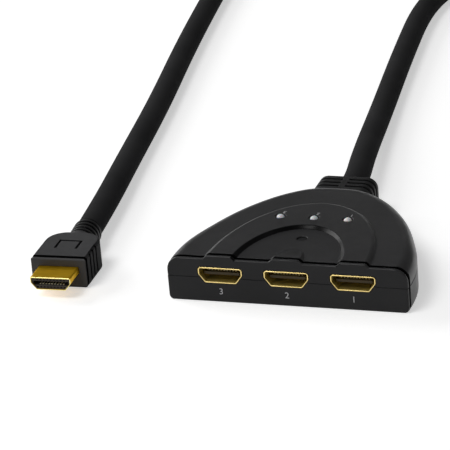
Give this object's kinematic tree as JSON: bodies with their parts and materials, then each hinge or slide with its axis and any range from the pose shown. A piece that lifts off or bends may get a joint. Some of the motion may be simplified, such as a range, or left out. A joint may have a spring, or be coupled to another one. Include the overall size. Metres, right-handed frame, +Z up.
{
  "type": "video switch box",
  "caption": "Fan-shaped switch box with a row of video sockets, signal lamps, a select button and a captive cable that ends in a plug.",
  "frame": {"origin": "on the floor, under the middle of the case with its strain relief", "axes": "+X to the right as seen from the sockets, +Y from the sockets to the cable end, +Z up"},
  "size_m": [0.1625, 0.3659, 0.0167],
  "materials": {
    "case_black": "fine satin moulded plastic",
    "cable_black": "satin soft jacket",
    "relief_black": "matt moulded rubber",
    "plug_black": "fine satin moulded plastic",
    "gilt": "bright gilt plating",
    "contact_gilt": "bright gilt plating",
    "insulator_black": "matt moulded plastic",
    "lamp_grey": "milky diffused resin",
    "board_green": "solder mask over laminate",
    "chip_black": "matt moulding compound",
    "tin": "tinned",
    "screw_steel": "zinc plated",
    "button_black": "satin moulded plastic",
    "capacitor_tan": "ceramic",
    "wire_cover": "thin coloured cover"
  },
  "bodies": {
    "root": {"board_screws": "screw_steel", "bottom_shell": "case_black", "cable": "cable_black", "cable_core": "cable_black", "capacitors": "capacitor_tan", "case_screws": "screw_steel", "chip_pins": "tin", "circuit_board": "board_green", "inner_wires": "wire_cover", "input_chips": "chip_black", "lamp_1": "lamp_grey", "lamp_2": "lamp_grey", "lamp_3": "lamp_grey", "lamp_leads": "tin", "plug_can": "tin", "plug_contacts": "contact_gilt", "plug_grip": "plug_black", "plug_insulator": "insulator_black", "plug_neck": "relief_black", "plug_shell": "gilt", "resistors": "chip_black", "socket_contacts_1": "contact_gilt", "socket_contacts_2": "contact_gilt", "socket_contacts_3": "contact_gilt", "socket_shell_1": "gilt", "socket_shell_2": "gilt", "socket_shell_3": "gilt", "socket_tongue_1": "insulator_black", "socket_tongue_2": "insulator_black", "socket_tongue_3": "insulator_black", "strain_relief": "relief_black", "switch_base": "chip_black", "switch_chip": "chip_black", "switch_cover": "tin", "switch_dome": "tin", "top_shell": "case_black"},
    "select_button": {"select_button": "button_black", "switch_stem": "button_black"}
  },
  "joints": [
    {"name": "select_press", "type": "slide", "parent": "root", "child": "select_button", "axis": [0, 0, -1], "range_m": [0, 0.00025], "stiffness_N_per_m": 900, "deforming": ["switch_dome"]}
  ]
}
